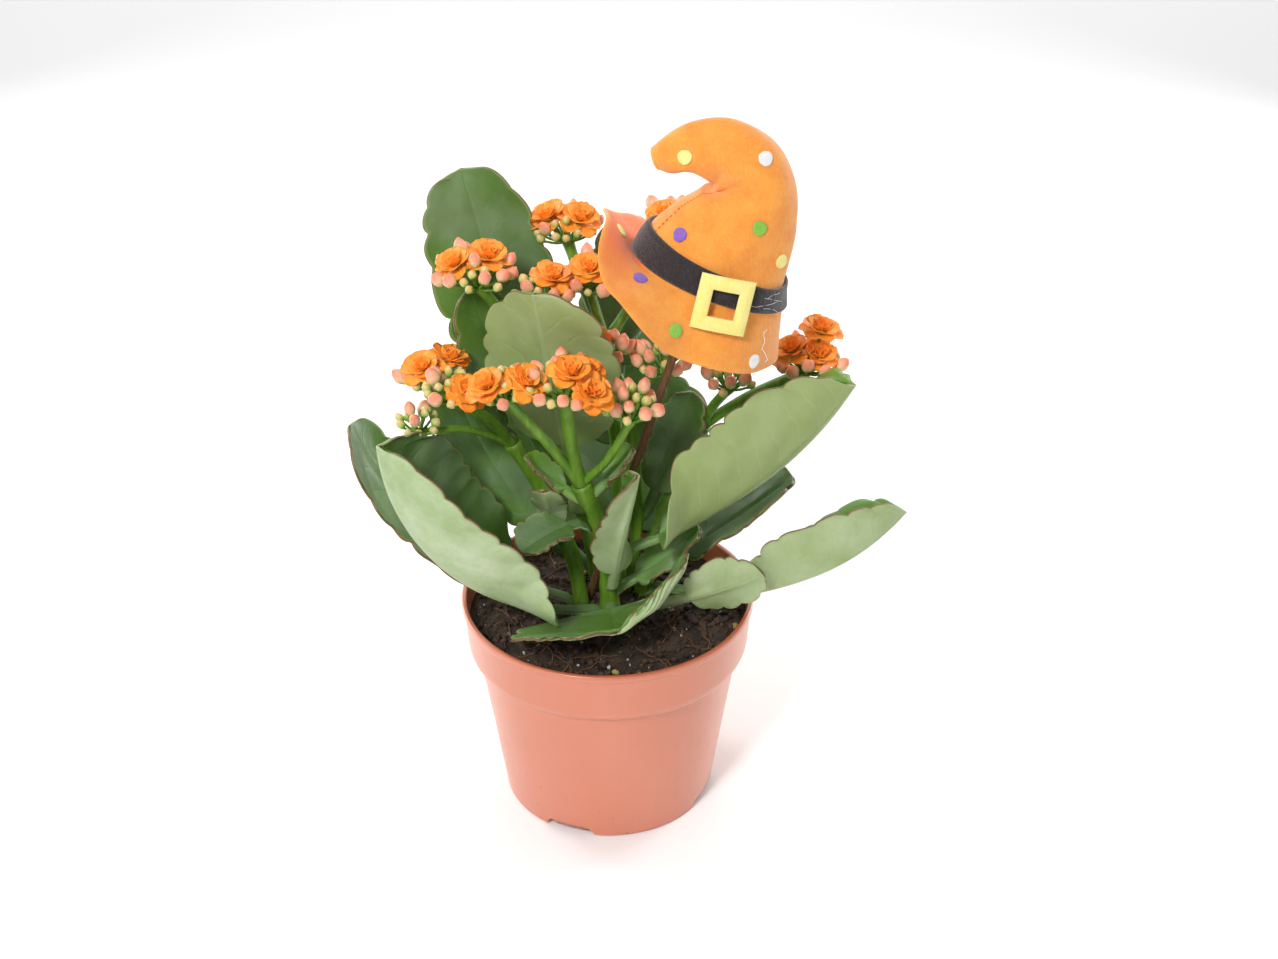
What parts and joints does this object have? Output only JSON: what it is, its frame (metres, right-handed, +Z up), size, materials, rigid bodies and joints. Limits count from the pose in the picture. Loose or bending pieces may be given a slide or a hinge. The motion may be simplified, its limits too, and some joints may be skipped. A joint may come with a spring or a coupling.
{
  "type": "potted kalanchoe",
  "caption": "Bushy flowering kalanchoe with thick scalloped leaves and orange flower heads in a tapered nursery pot, with a felt witch hat on a stick.",
  "frame": {"origin": "centre of the flat pad under the pot's floor, on the surface the pot stands on", "axes": "+Z up along the pot's axis; +X to the right and +Y to the back, seen from the front, where the hat's buckle is"},
  "size_m": [0.2235, 0.1645, 0.302],
  "materials": {
    "pot_plastic": "satin terracotta-coloured injection-moulded plastic, slightly darker at the rim",
    "soil": "dark brown peat with pale perlite grains and fine rootlets",
    "felt_orange": "orange craft felt, short loose fibres",
    "felt_black": "black craft felt",
    "felt_yellow": "pale yellow stiff felt with cut edges",
    "stick_wood": "plain brown wood, unfinished",
    "stem": "fresh green plant tissue, smooth",
    "leaf": "thick succulent leaf: dark green and waxy above, pale grey-green below, thin red-brown margin",
    "flower": "orange double petals with salmon-pink buds and green sepals",
    "felt_white": "white craft felt",
    "felt_green": "light green craft felt",
    "felt_purple": "purple craft felt"
  },
  "bodies": {
    "root": {"pot": "pot_plastic", "soil": "soil", "hat_cone": "felt_orange", "hat_brim": "felt_orange", "hat_band": "felt_black", "hat_buckle": "felt_yellow", "hat_stick": "stick_wood", "dot_yellow_tip": "felt_yellow", "dot_white_top": "felt_white", "dot_green_middle": "felt_green", "dot_purple_middle": "felt_purple", "dot_yellow_side": "felt_yellow", "dot_yellow_brim": "felt_yellow", "dot_purple_brim": "felt_purple", "dot_green_brim": "felt_green", "dot_white_brim": "felt_white", "front_stem": "stem", "left_stem": "stem", "back_left_stem": "stem", "back_stem": "stem", "right_stem": "stem", "middle_stem": "stem", "leaf_tall_left": "leaf", "leaf_round_left": "leaf", "leaf_far_left": "leaf", "leaf_centre_back": "leaf", "leaf_fold_left": "leaf", "leaf_low_left": "leaf", "leaf_front": "leaf", "leaf_low_front": "leaf", "leaf_low_right": "leaf", "leaf_fold_right": "leaf", "leaf_dark_right": "leaf", "leaf_small_fold": "leaf", "leaf_bract_right": "leaf", "leaf_drooping": "leaf", "leaf_cupped": "leaf", "leaf_dark_upright": "leaf", "leaf_behind_hat": "leaf", "leaf_bract_left": "leaf", "leaf_bract_inner": "leaf", "leaf_back_low": "leaf", "leaf_back_right": "leaf", "leaf_back_left": "leaf", "leaf_back_tall": "leaf", "head_front": "flower", "head_front_left": "flower", "head_small": "flower", "head_left": "flower", "head_left_back": "flower", "head_low_left": "flower", "head_upper_left": "flower", "head_upper": "flower", "head_top": "flower", "head_back": "flower", "head_middle": "flower", "head_shade": "flower", "head_inner": "flower", "head_under_hat": "flower", "head_right": "flower"}
  },
  "joints": []
}
